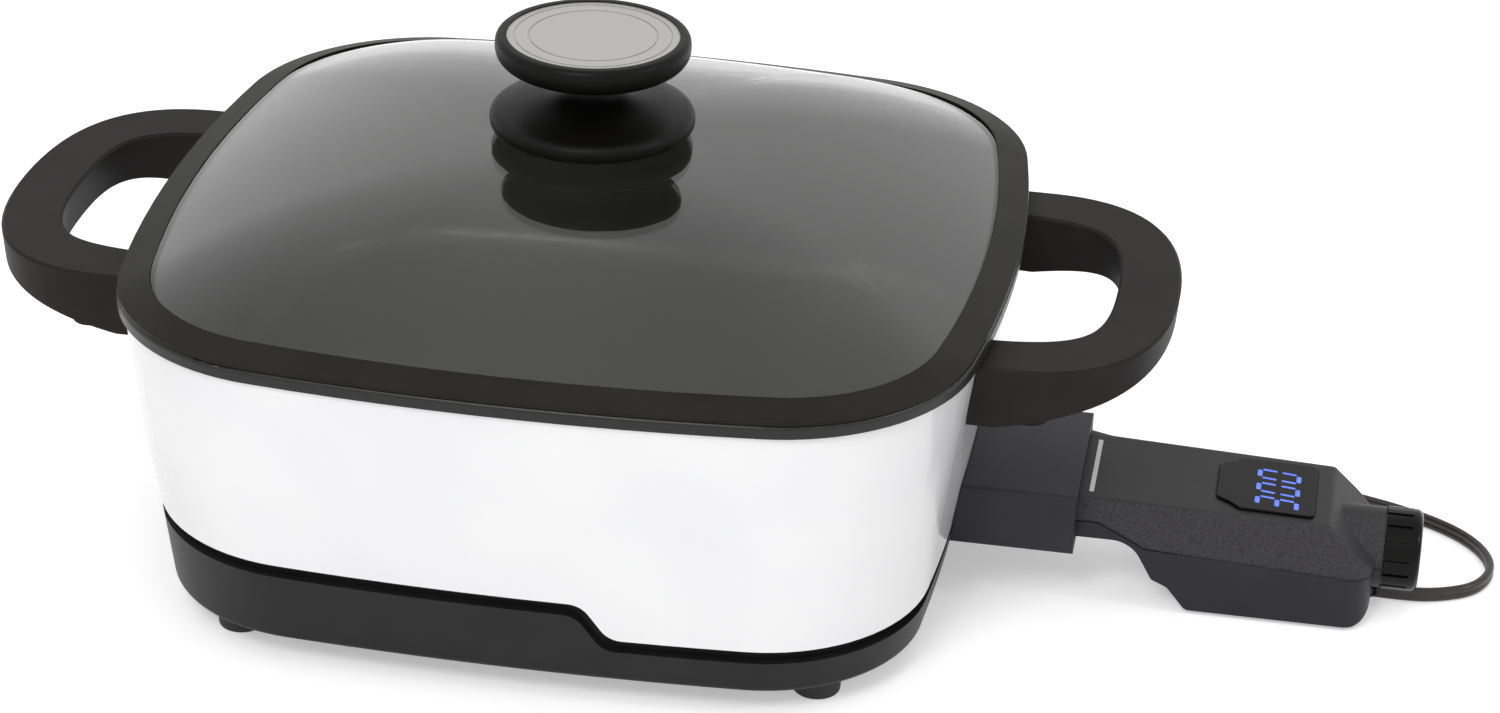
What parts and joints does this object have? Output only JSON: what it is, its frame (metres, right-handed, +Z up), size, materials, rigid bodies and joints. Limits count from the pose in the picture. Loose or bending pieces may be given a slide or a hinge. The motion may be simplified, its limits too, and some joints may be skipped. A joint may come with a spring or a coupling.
{
  "type": "electric skillet",
  "caption": "Deep electric skillet: bowed square white pan on a black base, loop handles, lift-off domed glass lid with a disc knob, plug-in digital heat control with a dial and a cord.",
  "frame": {"origin": "on the pan's upright axis, in the plane of the table that the four feet stand on", "axes": "+Z is up, +X points from the pan to the heat control, -Y faces the cook"},
  "size_m": [0.5296, 0.3678, 0.1857],
  "materials": {
    "white_enamel": "gloss white enamel over cast aluminium, black nonstick inside",
    "black_plastic": "satin phenolic and nylon mouldings",
    "control_plastic": "fine sparkle-textured moulding",
    "rim_silicone": "matte silicone",
    "foot_rubber": "matte rubber",
    "lid_glass": "clear tempered glass, slightly grey",
    "knob_gloss": "polished phenolic",
    "spun_metal": "spun concentric brushing",
    "element_steel": "heat-darkened steel sheath",
    "bright_steel": "plated fasteners and pins",
    "ceramic": "unglazed ceramic",
    "brass": "bright brass",
    "display_black": "smoked clear window",
    "board_green": "solder-masked laminate",
    "cord_black": "matte cord jacket"
  },
  "bodies": {
    "cooker": {"pan": "white_enamel", "heating_element": "element_steel", "terminal_pins": "bright_steel", "pin_bushes": "ceramic", "base_skirt": "black_plastic", "front_left_foot": "foot_rubber", "front_right_foot": "foot_rubber", "rear_left_foot": "foot_rubber", "rear_right_foot": "foot_rubber", "base_screws": "bright_steel", "probe_guard": "black_plastic", "guard_screws": "bright_steel", "right_handle": "black_plastic", "left_handle": "black_plastic", "right_handle_screws": "bright_steel", "left_handle_screws": "bright_steel"},
    "lid": {"lid_rim": "rim_silicone", "lid_glass": "lid_glass", "knob_gasket": "rim_silicone", "knob_collar": "knob_gloss", "knob_body": "knob_gloss", "knob_insert": "spun_metal", "knob_screw": "bright_steel", "knob_washer": "rim_silicone"},
    "control": {"control_upper_housing": "control_plastic", "control_lower_housing": "black_plastic", "display_window": "display_black", "display_module": "display_black", "circuit_board": "board_green", "relay": "black_plastic", "dial_encoder": "bright_steel", "terminal_sockets": "brass", "terminal_carrier": "ceramic", "probe_rod": "bright_steel", "front_housing_screws": "bright_steel", "rear_housing_screws": "bright_steel", "cord_strain_relief": "cord_black", "power_cord": "cord_black", "cord_coil": "cord_black", "plug_body": "cord_black", "plug_blades": "brass"},
    "dial": {"control_dial": "black_plastic", "dial_shaft": "bright_steel"}
  },
  "joints": [
    {"name": "lid_lift", "type": "slide", "parent": "cooker", "child": "lid", "axis": [0, 0, 1], "range_m": [0, 0.15]},
    {"name": "control_pull", "type": "slide", "parent": "cooker", "child": "control", "axis": [1, 0, 0], "range_m": [0, 0.12]},
    {"name": "dial_turn", "type": "hinge", "parent": "control", "child": "dial", "pos_m": [0.283, 0, 0.0208], "axis": [1, 0, 0], "range_deg": [-120, 180]}
  ]
}
